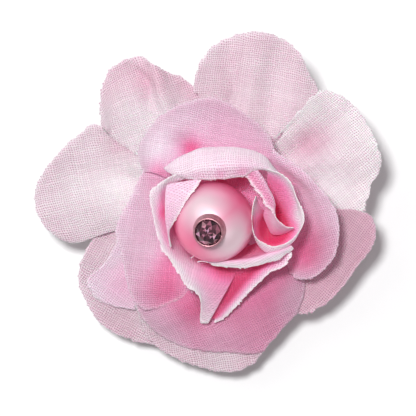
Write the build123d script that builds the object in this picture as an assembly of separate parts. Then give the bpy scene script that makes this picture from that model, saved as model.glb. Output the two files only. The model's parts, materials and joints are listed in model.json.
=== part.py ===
"""A fabric flower hair clip: a sprung steel clip, a felt pad, three rings of
woven petals and a drilled pearl with a stone set in a small metal cup.

Millimetres. Each sub-part is first made in the clip's frame: X across the
clip, +Y towards its handles, +Z up out of the flower, z = 0 on the flat back
of the top arm. The whole clip is then leaned about X until it stands on its
jaw tip and on the end of its lower handle, as it does on a table.
"""

from build123d import *
from math import atan2, cos, degrees, hypot, pi, radians, sin
import os

# ---- clip: two arms of stamped sheet on a riveted pin ----
SHEET = 0.7                      # thickness of the stamped steel
JAW_TIP_Y, HANDLE_END_Y = -21.5, 20.5
HINGE_Y, HINGE_Z = 6.0, -3.2
TIP_W, HINGE_W, HANDLE_W = 4.6, 8.2, 7.0     # top arm, from tip to handle
CORNER_R = 1.2
JAW_GAP = 0.05                   # between the closed jaws
LIP_DROP = 0.6                   # how far the top arm's tip is turned down
FLOOR_Z = -5.2                   # inside face of the lower arm at the hinge
FLOOR_FRONT_Y, FLOOR_REAR_Y = 1.5, 9.5
LOWER_HANDLE_Z = -9.3            # inside face at the end of the lower handle
EAR_FRONT_Y, EAR_REAR_Y, EAR_BOTTOM_Z = 2.2, 9.8, -4.7
EAR_CLEARANCE = 0.1              # between the nested ears, each side
LOWER_EAR_R = 2.2
TOOTH_PITCH, TOOTH_DEPTH, TOOTH_COUNT = 1.0, 0.45, 4
RIB_R, RIB_PITCH, RIB_COUNT = 0.45, 1.5, 3   # finger ribs on the lower handle

# ---- hinge pin and torsion spring ----
PIN_R, PIN_CLEARANCE = 0.9, 0.05
RIVET_HEAD_R, RIVET_HEAD_H = 1.5, 0.5
WIRE_R, COIL_R = 0.3, 1.45       # COIL_R is measured to the wire's centre
COIL_TURNS, COIL_PITCH = 3.5, 0.72
LEG_LENGTH = 6.5
LEG_SLOPES = (6.2, -3.4)         # of the upper and the lower leg, degrees

# ---- felt pad and its glue ----
GLUE_H, GLUE_W, GLUE_L = 0.3, 6.0, 25.0
FELT_R, FELT_H = 14.0, 1.2
FLOWER_Y = 0.5                   # flower axis along the clip
FLOWER_TURN = 10.0               # turn of the flower on the clip, degrees
PLATE_Z = GLUE_H + FELT_H        # face that the petals are built up on

# ---- petals: thin curved shells, heights measured from the felt's face ----
CLOTH = 0.25
CORE_R, CORE_TOP = 2.7, 6.5      # glue core that the petals' roots meet
PETAL_ROOT, ROOT_HALF_W = 2.8, 1.2
TIP_DROP, TIP_POWER = 0.38, 2.6  # how a petal's rim falls back towards its sides

# ---- pearl and stone ----
PEARL_R, PEARL_H = 6.0, 11.2     # PEARL_H is its centre above the felt's face
DRILL_R = 0.5
PEARL_NOD, PEARL_NOD_TO = 5.4, -152.0   # extra tip of the pearl's axis, degrees
CUP_FOOT_R, CUP_RIM_R, CUP_WALL = 2.5, 2.2, 0.2
CUP_FOOT_Z, CUP_FLOOR_Z, CUP_RIM_Z = 5.35, 6.15, 7.3   # above the pearl's middle
SHANK_R, SHANK_L = 0.45, 3.0
STONE_R, TABLE_R, CROWN_H, GIRDLE_H, PAVILION_H = 1.9, 1.05, 0.7, 0.15, 1.0
FACETS = 8


def side_prism(outline, width):
    """Solid of a (y, z) outline, centred across the clip."""
    wire = Polyline([(0, y, z) for y, z in outline], close=True)
    return extrude(make_face(wire), amount=width / 2, dir=(1, 0, 0), both=True)


def plan_prism(outline, low, high, corner):
    """Solid of an (x, y) outline between two heights, its corners rounded."""
    face = make_face(Polyline([(x, y, low) for x, y in outline], close=True))
    rounded = fillet(face.vertices(), corner)
    return extrude(rounded, amount=high - low, dir=(0, 0, 1))


def mirrored(right_side):
    """Closed outline from the points of its right-hand side, front to rear."""
    return right_side + [(-x, y) for x, y in reversed(right_side)]


def cross_rod(radius, length, y=HINGE_Y, z=HINGE_Z, x=0.0):
    """Cylinder along X, centred on the point given."""
    return Pos(x, y, z) * Rot(0, 90, 0) * Cylinder(radius, length)


# ---- the clip ----
def lower_face_z(y):
    """Height of the lower arm's inside face along the clip."""
    tip_z = -SHEET - LIP_DROP - JAW_GAP
    if y < FLOOR_FRONT_Y:
        share = (y - JAW_TIP_Y) / (FLOOR_FRONT_Y - JAW_TIP_Y)
        return tip_z + share * (FLOOR_Z - tip_z)
    if y < FLOOR_REAR_Y:
        return FLOOR_Z
    share = (y - FLOOR_REAR_Y) / (HANDLE_END_Y - FLOOR_REAR_Y)
    return FLOOR_Z + share * (LOWER_HANDLE_Z - FLOOR_Z)


def top_arm():
    rear = HANDLE_END_Y
    side = [
        (JAW_TIP_Y, 0), (rear, 0), (rear, -SHEET), (JAW_TIP_Y + 1.6, -SHEET),
        (JAW_TIP_Y + 0.9, -SHEET - LIP_DROP), (JAW_TIP_Y, -SHEET - LIP_DROP),
    ]
    plan = mirrored([
        (TIP_W / 2, JAW_TIP_Y), (HINGE_W / 2, EAR_FRONT_Y - 3.0),
        (HINGE_W / 2, EAR_REAR_Y + 1.0), (HANDLE_W / 2, EAR_REAR_Y + 4.0), (HANDLE_W / 2, rear),
    ])
    plate = side_prism(side, HINGE_W) & plan_prism(plan, -3, 1, CORNER_R)
    ear_side = [
        (EAR_FRONT_Y, -SHEET / 2), (EAR_REAR_Y, -SHEET / 2), (EAR_REAR_Y - 1.4, EAR_BOTTOM_Z),
        (EAR_FRONT_Y + 1.4, EAR_BOTTOM_Z),
    ]
    ears = side_prism(ear_side, HINGE_W) - side_prism(ear_side, HINGE_W - 2 * SHEET)
    return plate + ears - cross_rod(PIN_R, HINGE_W + 2)


def lower_arm():
    inner_w = HINGE_W - 2 * SHEET - 2 * EAR_CLEARANCE
    stations = [JAW_TIP_Y, FLOOR_FRONT_Y, FLOOR_REAR_Y, HANDLE_END_Y]
    inside = [(y, lower_face_z(y)) for y in stations]
    outside = [(y, z - SHEET) for y, z in reversed(inside)]
    plan = mirrored([
        (TIP_W / 2 - 0.1, JAW_TIP_Y), (inner_w / 2, EAR_FRONT_Y - 3.0), (inner_w / 2, HANDLE_END_Y),
    ])
    plate = side_prism(inside + outside, inner_w) & plan_prism(plan, -14, 1, CORNER_R)
    ear_side = [
        (HINGE_Y - LOWER_EAR_R, HINGE_Z), (HINGE_Y + LOWER_EAR_R, HINGE_Z),
        (FLOOR_REAR_Y, FLOOR_Z - SHEET / 2), (EAR_FRONT_Y, FLOOR_Z - SHEET / 2),
    ]
    ear_block = side_prism(ear_side, inner_w) + cross_rod(LOWER_EAR_R, inner_w)
    inner_block = Box(inner_w - 2 * SHEET, 30, 30)
    ears = ear_block - Pos(0, HINGE_Y, HINGE_Z) * inner_block
    arm = plate + ears - cross_rod(PIN_R + PIN_CLEARANCE, inner_w + 2)
    for tooth in range(TOOTH_COUNT):
        y = JAW_TIP_Y + 1.9 + tooth * TOOTH_PITCH
        notch = Pos(0, y, lower_face_z(y)) * Rot(45, 0, 0) * Box(inner_w + 2, TOOTH_DEPTH, TOOTH_DEPTH)
        arm -= notch
    for rib in range(RIB_COUNT):
        y = HANDLE_END_Y - 4.0 - rib * RIB_PITCH
        arm += cross_rod(RIB_R, inner_w - 2.0, y, lower_face_z(y) + RIB_R * 0.2 - SHEET / 2)
    return arm


def hinge_pin():
    """Shank with a rivet head set down over each ear."""
    pin = cross_rod(PIN_R, HINGE_W)
    for side in (-1, 1):
        x = side * (HINGE_W + RIVET_HEAD_H) / 2
        pin += cross_rod(RIVET_HEAD_R, RIVET_HEAD_H, x=x)
    return pin


def torsion_spring():
    """Coil round the pin; one leg under each handle pushes them apart."""
    upper_slope, lower_slope = LEG_SLOPES
    turns = COIL_TURNS + (lower_slope - upper_slope) / 360
    length = turns * COIL_PITCH
    start_angle = 180 + upper_slope
    helix = Rot(0, 90, 0) * Rot(0, 0, start_angle) * Helix(COIL_PITCH, length, COIL_R)
    helix = Pos(-length / 2, HINGE_Y, HINGE_Z) * helix
    upper_leg = Line((helix @ 0) - (helix % 0) * LEG_LENGTH, helix @ 0)
    lower_leg = Line(helix @ 1, (helix @ 1) + (helix % 1) * LEG_LENGTH)
    route = Wire([upper_leg, helix, lower_leg])
    section = Plane(route @ 0, z_dir=route % 0) * Circle(WIRE_R)
    return sweep(section, path=route)


# ---- the flower's base ----
def clip_glue():
    strip = Rectangle(GLUE_W, GLUE_L)
    strip = fillet(strip.vertices(), 1.5)
    return Pos(0, FLOWER_Y, 0) * extrude(strip, amount=GLUE_H)


def felt_pad():
    disc = Cylinder(FELT_R, FELT_H, align=(Align.CENTER, Align.CENTER, Align.MIN))
    return Pos(0, FLOWER_Y, GLUE_H) * disc


def glue_core():
    core = Cylinder(CORE_R, CORE_TOP, align=(Align.CENTER, Align.CENTER, Align.MIN))
    core -= Pos(0, 0, PEARL_H) * Sphere(PEARL_R)
    return Pos(0, FLOWER_Y, PLATE_Z) * core


# ---- petals ----
def smooth(share):
    share = min(max(share, 0.0), 1.0)
    return share * share * (3 - 2 * share)


def petal(azimuth, reach, half_width, height):
    """Fan-shaped shell. height(r) gives its underside at a radius r."""
    turn = radians(azimuth + FLOWER_TURN)
    rows = columns = 9
    grid = []
    for row in range(rows):
        v = row / (rows - 1)
        half = ROOT_HALF_W + (half_width - ROOT_HALF_W) * sin(v * pi / 2)
        line = []
        for column in range(columns):
            u = 2 * column / (columns - 1) - 1
            along = PETAL_ROOT + (reach - PETAL_ROOT) * v * (1 - TIP_DROP * v * abs(u) ** TIP_POWER)
            x = along * cos(turn) - u * half * sin(turn)
            y = along * sin(turn) + u * half * cos(turn)
            line.append((x, y, height(hypot(x, y))))
        grid.append(line)
    face = Face.make_surface_from_array_of_points(grid, tol=0.02, min_deg=3, max_deg=5)
    shell = Solid.thicken(face, CLOTH, normal_override=(0, 0, 1))
    return Pos(0, FLOWER_Y, PLATE_Z) * shell


def flat_height(level):
    """Outer ring: stacked on the felt and lifting a little to the tips."""
    return lambda r: 0.1 + level * 0.35 + 2.4 * (r / 27) ** 2


def cup_height(low, rise, rim_r):
    """A root at height low that sweeps up by rise to its rim."""
    return lambda r: low + rise * smooth((r - PETAL_ROOT) / (rim_r - PETAL_ROOT))


# azimuth from +X in the flower's own plan, reach, half width, place in the stack
OUTER_PETALS = [
    (77, 28.2, 11.6, 1), (123, 27.2, 11.2, 0), (174, 28.2, 11.4, 2), (220, 25.2, 11.0, 1),
    (275, 25.2, 12.6, 4), (332, 25.2, 11.6, 3), (22, 26.6, 12.0, 2),
]

# azimuth, reach, half width, root height, rise
MIDDLE_PETALS = [
    (97, 18.2, 10.6, 2.5, 6.5), (200, 16.6, 9.5, 3.0, 6.5), (212, 22.0, 7.5, 2.0, 3.2),
    (272, 21.6, 11.0, 2.5, 3.4), (10, 18.8, 11.0, 3.0, 6.5),
]
MIDDLE_RIM_R = 19.0

# azimuth, reach, half width, root height
INNER_PETALS = [
    (85, 11.2, 8.4, 3.6), (150, 10.2, 6.4, 4.4), (203, 10.6, 6.8, 5.2), (262, 14.2, 7.0, 3.6),
    (312, 12.6, 7.0, 4.4), (10, 13.2, 7.8, 5.2),
]
INNER_RIM_R, INNER_RISE = 11.5, 9.4


def petals():
    parts = {}
    for number, (azimuth, reach, half, level) in enumerate(OUTER_PETALS, 1):
        parts[f"outer_petal_{number}"] = petal(azimuth, reach, half, flat_height(level))
    for number, (azimuth, reach, half, low, rise) in enumerate(MIDDLE_PETALS, 1):
        height = cup_height(low, rise, MIDDLE_RIM_R)
        parts[f"middle_petal_{number}"] = petal(azimuth, reach, half, height)
    for number, (azimuth, reach, half, low) in enumerate(INNER_PETALS, 1):
        height = cup_height(low, INNER_RISE, INNER_RIM_R)
        parts[f"inner_petal_{number}"] = petal(azimuth, reach, half, height)
    return parts


# ---- pearl, cup and stone, made about the pearl's centre with the drill hole upright ----
def pearl():
    return Sphere(PEARL_R) - Cylinder(DRILL_R, 2 * PEARL_R + 2)


def stone_cup():
    inner = CUP_RIM_R - CUP_WALL
    outline = [
        (0, CUP_FOOT_Z), (CUP_FOOT_R, CUP_FOOT_Z), (CUP_RIM_R, CUP_RIM_Z), (inner, CUP_RIM_Z),
        (inner - 0.3, CUP_FLOOR_Z), (0, CUP_FLOOR_Z),
    ]
    profile = make_face(Polyline([(r, 0, z) for r, z in outline], close=True))
    cup = revolve(profile, axis=Axis.Z) - Sphere(PEARL_R)
    shank = Pos(0, 0, PEARL_R + 0.1 - SHANK_L / 2) * Cylinder(SHANK_R, SHANK_L)
    return cup + shank


def rhinestone():
    girdle_low = CUP_FLOOR_Z + PAVILION_H
    culet = RegularPolygon(0.25, FACETS)
    girdle = RegularPolygon(STONE_R, FACETS)
    table = RegularPolygon(TABLE_R, FACETS)
    pavilion = loft([Pos(0, 0, girdle_low - PAVILION_H + 0.05) * culet, Pos(0, 0, girdle_low) * girdle])
    band = Pos(0, 0, girdle_low) * extrude(girdle, amount=GIRDLE_H)
    top = girdle_low + GIRDLE_H
    crown = loft([Pos(0, 0, top) * girdle, Pos(0, 0, top + CROWN_H) * table])
    return pavilion + band + crown


def nodded(shape):
    """Puts a shape from the pearl's frame into the clip's, tipped a little."""
    to = radians(PEARL_NOD_TO)
    tip = Location((0, FLOWER_Y, PLATE_Z + PEARL_H)) * Rot(-PEARL_NOD * sin(to), PEARL_NOD * cos(to), 0)
    return tip * shape


# ---- assembly ----
def rest_lean():
    """Lean that lays the jaw tip and the lower handle's end on one level."""
    tip_z = lower_face_z(JAW_TIP_Y)
    return degrees(atan2(tip_z - LOWER_HANDLE_Z, HANDLE_END_Y - JAW_TIP_Y))


def all_parts():
    parts = {
        "top_arm": top_arm(), "lower_arm": lower_arm(), "hinge_pin": hinge_pin(),
        "torsion_spring": torsion_spring(), "clip_glue": clip_glue(), "felt_pad": felt_pad(),
        "glue_core": glue_core(),
    }
    parts.update(petals())
    parts["pearl"] = nodded(pearl())
    parts["stone_cup"] = nodded(stone_cup())
    parts["rhinestone"] = nodded(rhinestone())
    return parts


def main():
    os.makedirs("parts", exist_ok=True)
    lean = Rot(rest_lean(), 0, 0)
    leaned = {name: lean * shape for name, shape in all_parts().items()}
    box = Compound(children=[Compound(shape.solids()) for shape in leaned.values()]).bounding_box()
    home = Pos(-(box.min.X + box.max.X) / 2, -(box.min.Y + box.max.Y) / 2, -box.min.Z)
    for name, shape in leaned.items():
        export_step(home * shape, f"parts/{name}.step")
    place = home * lean
    print("lean", round(rest_lean(), 3), "size", box.size)
    print("hinge", (place * Pos(0, HINGE_Y, HINGE_Z)).position)
    print("pearl", (place * Pos(0, FLOWER_Y, PLATE_Z + PEARL_H)).position)


main()
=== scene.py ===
"""Looks for the fabric flower hair clip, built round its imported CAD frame.

Lengths are in millimetres until a mesh is made. A petal's points are given as
(x, y, h): x and y where the point shows in the plan of the flower, measured
from the middle of the pearl, and h its height above the face of the felt. The
shared frame is the one that the CAD, its joint and this scene are all in.
"""

import json
from math import cos, pi, radians, sin

import bpy
import numpy as np
from mathutils import Matrix, Vector, noise


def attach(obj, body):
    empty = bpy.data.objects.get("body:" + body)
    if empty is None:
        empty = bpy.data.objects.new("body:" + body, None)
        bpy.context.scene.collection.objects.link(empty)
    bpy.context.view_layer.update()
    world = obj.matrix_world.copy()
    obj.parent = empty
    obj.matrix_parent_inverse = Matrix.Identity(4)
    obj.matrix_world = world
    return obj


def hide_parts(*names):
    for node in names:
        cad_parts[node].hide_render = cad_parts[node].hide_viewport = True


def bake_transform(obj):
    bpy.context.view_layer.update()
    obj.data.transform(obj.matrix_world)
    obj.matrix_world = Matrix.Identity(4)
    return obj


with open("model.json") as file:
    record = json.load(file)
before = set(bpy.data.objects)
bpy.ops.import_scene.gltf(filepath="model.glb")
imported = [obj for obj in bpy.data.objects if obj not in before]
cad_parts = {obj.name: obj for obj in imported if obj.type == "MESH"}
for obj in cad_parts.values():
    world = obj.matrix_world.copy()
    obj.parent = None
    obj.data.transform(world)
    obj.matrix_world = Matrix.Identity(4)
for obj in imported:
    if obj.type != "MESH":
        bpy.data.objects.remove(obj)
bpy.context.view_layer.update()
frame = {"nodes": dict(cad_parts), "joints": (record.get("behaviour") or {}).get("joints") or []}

MM = 0.001

# ---- the clip's own frame, and what the CAD has in it ----
LEAN = radians(10.718)  # lean of the whole clip about X
TURN = radians(10.0)  # turn of the flower on the clip
HINGE = np.array((0, 6.0, -3.2))  # in the clip's frame
FLOWER = np.array((0, 0.5, 1.5))  # middle of the felt's face, in the clip's frame
FELT_R, FELT_H, FELT_SINK = 14.0, 1.2, 0.03
WIRE_R, SPRING_R, SPRING_TURNS, SPRING_PITCH = 0.3, 1.45, 3.5, 0.72
SPRING_LEG, SPRING_SLOPES = 6.5, (6.2, -3.4)  # slopes of the upper and lower leg, degrees

# ---- pearl, and the stone in its cup, measured from the pearl's middle ----
PEARL_R, PEARL_H = 6.0, 11.2
PEARL_NOD, PEARL_NOD_TO = radians(5.4), radians(-152.0)  # how far and which way it tips
PEARL_HIGHLIGHTS = np.array(((-1.6, 2.0, 4.4), (2.3, -2.5, 4.0)))  # its two painted highlights, where it is palest
STONE_SIDES = 10
STONE_TOP = 8.0
STONE_RINGS = [  # radius and height, from the table down
    (0.42, 8.06), (0.85, 7.98), (1.3, 7.78), (1.9, 7.3), (1.9, 7.15), (0.3, 6.2),
]
STONE_TWISTED = 3  # rings that are each turned half a facet
CUP_RIM_R, CUP_RIM_H, CUP_RIM_WIRE, CUP_RIM_STEPS = 2.08, 7.3, 0.16, 72

# ---- camera and floor ----
CAMERA_HEIGHT = 460.0
PLAN_HEIGHT = 10.0  # level that the plan's scale is true at
PLAN_WIDTH = 63.65  # width of the view at that level
PEARL_IN_PLAN = np.array((0.92, -2.14))  # pearl's middle from the view's middle
SENSOR_WIDTH = 36.0
FLOOR_HALF = 2.0  # half of its width, in metres

# ---- cloth ----
CLOTH = 0.14  # thickness
RIM_THICKNESS = 0.45  # of the cut edge, as a share of CLOTH
THREAD = 0.34  # distance between threads
WANDER = (2.2, -2.2)  # how far warp and weft drift, in threads
WANDER_SCALE = 0.42  # of the drift's noise, per millimetre
PALE_EDGE = 0.42  # width of the pale band along a cut edge
COLUMN = 0.14  # spacing of a petal's points along its rim
CORE = np.array((0.3, 1.9))  # middle of the flower's roots, in the plan
CORE_R = 2.6  # from there to the outer petals' first rows

# ---- dyes, tints and painted shade ----
PAINTED_SHADE_TINT = (0.75, 0.66, 0.7, 1.0)  # painted shade: the grey lilac tint it multiplies into the cloth
THREAD_TINT = (0.9, 0.87, 0.89, 1.0)  # of the darkest threads
HOLE_TINT = (0.56, 0.38, 0.46, 1.0)  # of the gaps between the threads
CUT_EDGE = (252, 240, 246)  # screen colour of a cut edge
DYE_AND_SHADE_STEPS = (0.0, 0.35, 0.7, 1.0)  # strengths that a cloth's four colours stand for; the strongest are partly real dye and partly painted shade and glow in the hollows

lean = np.array(Matrix.Rotation(LEAN, 3, "X"))
turn = np.array(Matrix.Rotation(TURN, 2))
hinge_shared = np.array(frame["joints"][0]["pos_m"]) / MM


def from_clip(points):
    """A point or points of the clip's frame, in the shared frame."""
    return hinge_shared + (np.asarray(points, float) - HINGE) @ lean.T


def from_flower(point):
    """A point (x, y, h) square to the felt, in the shared frame."""
    x, y = turn @ np.asarray(point[:2], float)
    return from_clip(FLOWER + (x, y, point[2]))


FELT_FACE = from_flower((0, 0, 0))
FELT_NORMAL = lean @ np.array((0, 0, 1.0))
PEARL = from_flower((0, 0, PEARL_H))
PLAN_SHRINK = (CAMERA_HEIGHT - PEARL[2]) / (CAMERA_HEIGHT - PLAN_HEIGHT)
CAMERA = np.append(PEARL[:2] - turn @ PEARL_IN_PLAN * PLAN_SHRINK, CAMERA_HEIGHT)


def seen(points):
    """Points (x, y, h) of the flower's plan, in the shared frame."""
    points = np.asarray(points, float)
    plan = (points[..., :2] + PEARL_IN_PLAN) @ turn.T + CAMERA[:2]
    line = np.concatenate([plan, np.full(plan.shape[:-1] + (1,), PLAN_HEIGHT)], -1) - CAMERA
    reach = (points[..., 2] - (CAMERA - FELT_FACE) @ FELT_NORMAL) / (line @ FELT_NORMAL)
    return CAMERA + line * reach[..., None]


# ---- smooth lines and surfaces ----
def through(points, at):
    """A smooth run through the points; at is where to read it, from 0 to 1."""
    points = np.asarray(points, float)
    gaps = np.linalg.norm(np.diff(points, axis=0), axis=-1)
    gaps = np.sqrt(gaps.reshape(len(gaps), -1).mean(axis=1))
    knots = np.concatenate([[0], np.cumsum(gaps)]) / gaps.sum()
    if len(points) == 2:
        slopes = np.repeat(np.diff(points, axis=0), 2, axis=0)
    else:
        slopes = np.gradient(points, knots, axis=0)
    span = np.clip(np.searchsorted(knots, at, side="right") - 1, 0, len(knots) - 2)
    wide = (knots[span + 1] - knots[span]).reshape((-1,) + (1,) * (points.ndim - 1))
    t = (np.asarray(at) - knots[span]).reshape(wide.shape) / wide
    start, end = points[span], points[span + 1]
    return (
        start * (1 + 2 * t) * (1 - t) ** 2 + end * t * t * (3 - 2 * t)
        + wide * (slopes[span] * t * (1 - t) ** 2 - slopes[span + 1] * t * t * (1 - t))
    )


def even(points, count):
    """count points spread evenly along a smooth line through the ones given."""
    fine = through(points, np.linspace(0, 1, 40 * len(points)))
    along = np.concatenate([[0], np.cumsum(np.linalg.norm(np.diff(fine, axis=0), axis=1))])
    at = np.linspace(0, along[-1], count)
    return np.stack([np.interp(at, along, fine[:, axis]) for axis in range(3)], -1)


def loft(rows, columns, count):
    """Grid of points on a smooth surface through the rows, root to rim."""
    lines = np.array([even(row, columns) for row in rows])
    return through(lines, np.linspace(0, 1, count))


def lengths(grid, axis):
    """Distance along the grid from its first row or column."""
    step = np.linalg.norm(np.diff(grid, axis=axis), axis=-1)
    start = np.zeros_like(step.take([0], axis=axis))
    return np.concatenate([start, np.cumsum(step, axis=axis)], axis=axis)


def smooth(share):
    """Eased step from 0 to 1."""
    share = np.clip(share, 0, 1)
    return share * share * (3 - 2 * share)


def normals(grid):
    """Unit normal at each point of a grid."""
    normal = np.cross(np.gradient(grid, axis=1), np.gradient(grid, axis=0))
    return normal / np.maximum(np.linalg.norm(normal, axis=-1, keepdims=True), 1e-9)


def waves(grid, wavelength, seed):
    """Smooth noise from -1 to 1 at each point of a grid."""
    flat = grid.reshape(-1, 3) / wavelength + seed * 7.3
    return np.array([noise.noise(point) for point in flat]).reshape(grid.shape[:2])


def spots(plan, places):
    """Soft round spots added up, each (x, y, radius, strength)."""
    total = np.zeros(plan.shape[:2])
    for x, y, radius, strength in places:
        away = np.hypot(plan[..., 0] - x, plan[..., 1] - y) / radius
        total += strength * np.exp(-away ** 2)
    return total


# ---- meshes and objects ----
def new_mesh(name, points, faces, smooth_faces=True):
    """Mesh from points in millimetres."""
    mesh = bpy.data.meshes.new(name)
    mesh.from_pydata((np.asarray(points) * MM).tolist(), [], faces)
    mesh.polygons.foreach_set("use_smooth", np.full(len(faces), smooth_faces))
    return mesh


def new_object(name, data, material=None):
    """Puts a mesh with its material, a light or a camera in the scene."""
    if material:
        data.materials.append(material)
    thing = bpy.data.objects.new(name, data)
    bpy.context.scene.collection.objects.link(thing)
    return thing


# ---- petals ----
def rippled(grid, share, height, seed):
    """Lifts a petal in low waves that grow from nothing at its root."""
    swell = waves(grid, 5.0, seed) + 0.5 * waves(grid, 2.2, seed + 40)
    return grid + normals(grid) * (height * swell * smooth(share * 1.5))[..., None]


def fray(grid, seed, depth):
    """Moves the rim's points out along the threads, each thread its own length."""
    rng = np.random.default_rng(seed)
    along = lengths(grid[-1:], 1)[0]
    thread = np.floor(along / THREAD).astype(int)
    short = rng.random(thread.max() + 2) ** 2 * 0.8
    stray = (rng.random(thread.max() + 2) > 0.93) * 0.5
    rounded = 1 - np.abs(2 * (along / THREAD - thread) - 1) ** 3
    bites = np.array([noise.noise((a / 1.3, seed, 0)) for a in along])
    push = depth * ((short + stray)[thread] * rounded + 0.9 * bites)
    outward = grid[-1] - grid[-4]
    outward /= np.maximum(np.linalg.norm(outward, axis=-1, keepdims=True), 1e-9)
    for row, share in ((-1, 1.0), (-2, 0.3)):
        grid[row] += outward * (push * share)[:, None]
    return grid


def turned(points, angle):
    """Points with their x and y turned by an angle."""
    c, s = cos(angle), sin(angle)
    x, y = points[..., 0], points[..., 1]
    rest = [points[..., axis] for axis in range(2, points.shape[-1])]
    return np.stack([x * c - y * s, x * s + y * c] + rest, -1)


def fanned_flat(grid, plan):
    """Flat-cloth position of an open petal: its plan, let out by its slopes."""
    away = plan[..., :2] - plan[:1, :, :2]
    distance = np.maximum(np.linalg.norm(away, axis=-1, keepdims=True), 1e-6)
    return plan[:1, :, :2] + away / distance * lengths(grid, 0)[..., None]


def rolled_flat(grid):
    """Flat-cloth position of a folded petal: lengths along its rows and columns."""
    across = lengths(grid, 1)
    across -= across[:, across.shape[1] // 2][:, None]
    along = lengths(grid, 0).mean(axis=1)[:, None] * np.ones(grid.shape[1])
    return np.stack([across, along], -1)


def shell_faces(rows, columns):
    """Faces of a closed shell whose two sides are grids of the same size."""
    size = rows * columns
    index = np.arange(size).reshape(rows, columns)
    a, b, c, d = index[:-1, :-1], index[:-1, 1:], index[1:, 1:], index[1:, :-1]
    top = np.stack([a, b, c, d], -1).reshape(-1, 4)
    edge = np.concatenate([index[0], index[1:, -1], index[-1, -2::-1], index[-2:0:-1, 0]])
    following = np.roll(edge, -1)
    sides = np.stack([edge, edge + size, following + size, following], -1)
    return np.concatenate([top, top[:, ::-1] + size, sides])


def shell_mesh(name, grid, uv, values):
    """Closed shell of cloth on both sides of a grid, with flat-cut UVs and attributes."""
    rows, columns = grid.shape[:2]
    taper = np.ones((rows, columns))
    taper[-1] = RIM_THICKNESS
    offset = normals(grid) * (CLOTH / 2 * taper)[..., None]
    points = np.concatenate([(grid + offset).reshape(-1, 3), (grid - offset).reshape(-1, 3)])
    faces = shell_faces(rows, columns)
    mesh = new_mesh(name, points, faces.tolist())
    corners = faces.reshape(-1) % (rows * columns)
    layer = mesh.uv_layers.new(name="flat")
    layer.uv.foreach_set("vector", uv.reshape(-1, 2)[corners].reshape(-1))
    for attribute, value in values.items():
        data = mesh.attributes.new(attribute, "FLOAT", "POINT").data
        data.foreach_set("value", np.tile(value.reshape(-1), 2))
    mesh.update()
    return mesh


def dye_and_shade_strength(plan, grid, share, dye_and_shade, dye_and_shade_spots, seed):
    """How strongly a petal is dyed, from 0 to 1, with a little unevenness; its deep end at the root and its
    spots are partly painted shade and glow, and spots that take dye away are painted light.
    """
    root, middle, rim = dye_and_shade
    strength = root + (middle - root) * smooth(share * 2) + (rim - middle) * smooth(share * 2 - 1)
    return np.clip(strength + spots(plan, dye_and_shade_spots) + 0.08 * waves(grid, 4.0, seed + 80), 0, 1)


def edge_paleness(grid, strength, seed):
    """How pale a petal is beside its cut edge, each column a little different."""
    away = lengths(grid, 0)
    away = away[-1] - away
    rng = np.random.default_rng(seed + 500)
    return strength * np.exp(-(away / PALE_EDGE) ** 2) * rng.uniform(0.4, 1.0, grid.shape[1])


def painted_shade_amount(plan, share, painted_shade, painted_shade_spots):
    """How far painted shade greys a petal, from 0 to 1."""
    root, rim = painted_shade
    return np.clip(root + (rim - root) * smooth(share) + spots(plan, painted_shade_spots), 0, 1)


def openness(grid, share, loose, seed):
    """How open a petal's weave is: more towards its rim, and in patches."""
    spread = 0.3 + 0.7 * smooth(share * 1.7 - 0.7) + 0.25 * waves(grid, 6.0, seed + 120)
    return np.clip(loose * spread, 0.15, 1)


def petal(name, rows, cloth, flat, held, node=None, seed=1, grain=0.0, count=44, folded=False,
          ripple=0.12, depth=0.28, pale_edge=0.6, loose=1.0, dye_and_shade=(1.0, 0.5, 0.0), dye_and_shade_spots=(),
          painted_shade=(0.0, 0.0), painted_shade_spots=()):
    """One cut of cloth lofted through its rows, root to rim, and frayed along its rim.

    grain is the angle of its threads in degrees, depth how far its rim frays and
    loose how open its weave is. Its dye is given as a strength at the root, half way
    and at the rim, with spots of more or less of it; the deep end is partly real dye
    and partly painted shade and glow in the hollows, some spots are painted shade,
    and spots that take dye away are painted light. Its painted shade, which greys
    the cloth, is given at the root and at the rim, with spots of more or less of it.
    """
    rim_length = np.linalg.norm(np.diff(even(rows[-1], 40), axis=0), axis=1).sum()
    columns = int(rim_length / COLUMN)
    plan = loft(rows, columns, count)
    share = np.linspace(0, 1, count)[:, None] * np.ones(columns)
    grid = seen(plan)
    grid = rippled(grid, share, ripple, seed)
    uv = turned(rolled_flat(grid) if folded else fanned_flat(grid, plan), radians(grain))
    # dye with painted shade and glow, pale cut edges, and painted shade that greys the cloth
    values = {
        "dye_and_shade": dye_and_shade_strength(plan, grid, share, dye_and_shade, dye_and_shade_spots, seed),
        "edge": edge_paleness(grid, pale_edge, seed),
        "painted_shade": painted_shade_amount(plan, share, painted_shade, painted_shade_spots),
    }
    grid = fray(grid, seed, depth)
    values["open"] = openness(grid, share, loose, seed)
    piece = new_object(name, shell_mesh(name, grid, uv, values), cloth)
    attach(piece, "flower_half")
    if node:
        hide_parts(node)


# ---- materials ----
def srgb(red, green, blue):
    """Linear colour of an 8-bit screen colour."""
    def linear(value):
        value /= 255
        return value / 12.92 if value <= 0.04045 else ((value + 0.055) / 1.055) ** 2.4
    return (linear(red), linear(green), linear(blue), 1.0)


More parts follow.
